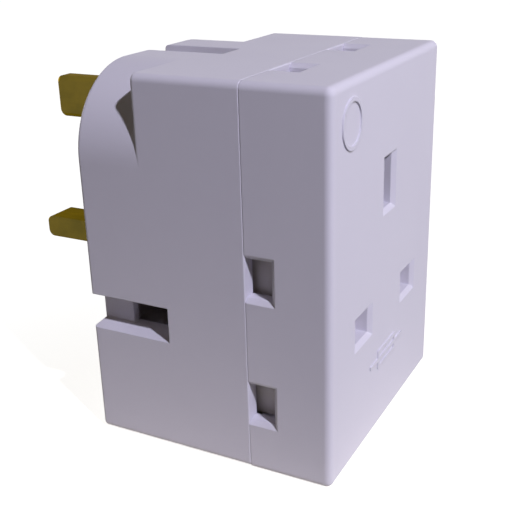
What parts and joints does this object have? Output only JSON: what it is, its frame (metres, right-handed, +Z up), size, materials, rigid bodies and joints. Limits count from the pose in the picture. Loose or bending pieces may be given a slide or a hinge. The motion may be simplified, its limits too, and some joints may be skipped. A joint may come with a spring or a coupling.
{
  "type": "multi socket adapter",
  "caption": "Plug-in adapter box for rectangular-pin mains plugs, with shuttered sockets on its front, left side and top, a pull-out fuse and brass pins on the rear face.",
  "frame": {"origin": "on the plug face, midway between the line and neutral pins", "axes": "+Z up towards the earth pin and the top socket, +Y out of the plug face along the pins, +X to the right as seen facing the front socket"},
  "size_m": [0.05, 0.0686, 0.066],
  "materials": {
    "housing_plastic": "satin",
    "shutter_plastic": "satin",
    "guide_plastic": "satin",
    "pin_brass": "dull",
    "contact_brass": "satin",
    "fuse_ceramic": "satin",
    "fuse_cap_metal": "polished",
    "screw_steel": "satin",
    "spring_steel": "satin"
  },
  "bodies": {
    "housing": {"front_housing": "housing_plastic", "rear_housing": "housing_plastic", "earth_pin": "pin_brass", "line_pin": "pin_brass", "neutral_pin": "pin_brass", "earth_bar": "contact_brass", "line_bar": "contact_brass", "neutral_bar": "contact_brass", "line_pin_strip": "contact_brass", "front_line_contact": "contact_brass", "front_neutral_contact": "contact_brass", "front_earth_contact": "contact_brass", "left_line_contact": "contact_brass", "left_neutral_contact": "contact_brass", "left_earth_contact": "contact_brass", "top_line_contact": "contact_brass", "top_neutral_contact": "contact_brass", "top_earth_contact": "contact_brass", "contact_rivets": "contact_brass", "line_fuse_clip": "contact_brass", "load_fuse_clip": "contact_brass", "front_shutter_guide": "guide_plastic", "left_shutter_guide": "guide_plastic", "top_shutter_guide": "guide_plastic", "front_shutter_spring": "spring_steel", "left_shutter_spring": "spring_steel", "top_shutter_spring": "spring_steel", "housing_screws": "screw_steel"},
    "fuse_drawer": {"fuse_carrier": "housing_plastic", "fuse_tube": "fuse_ceramic", "fuse_caps": "fuse_cap_metal"},
    "front_shutter_body": {"front_shutter": "shutter_plastic"},
    "left_shutter_body": {"left_shutter": "shutter_plastic"},
    "top_shutter_body": {"top_shutter": "shutter_plastic"}
  },
  "joints": [
    {"name": "fuse_carrier_slide", "type": "slide", "parent": "housing", "child": "fuse_drawer", "axis": [0, 1, 0], "range_m": [0, 0.012]},
    {"name": "front_shutter_slide", "type": "slide", "parent": "housing", "child": "front_shutter_body", "axis": [0, 0, -1], "range_m": [0, 0.0054], "stiffness_N_per_m": 80, "springref_m": -0.006, "deforming": ["front_shutter_spring"]},
    {"name": "left_shutter_slide", "type": "slide", "parent": "housing", "child": "left_shutter_body", "axis": [0, -1, 0], "range_m": [0, 0.0054], "stiffness_N_per_m": 80, "springref_m": -0.006, "deforming": ["left_shutter_spring"]},
    {"name": "top_shutter_slide", "type": "slide", "parent": "housing", "child": "top_shutter_body", "axis": [0, -1, 0], "range_m": [0, 0.0054], "stiffness_N_per_m": 80, "springref_m": -0.006, "deforming": ["top_shutter_spring"]}
  ]
}
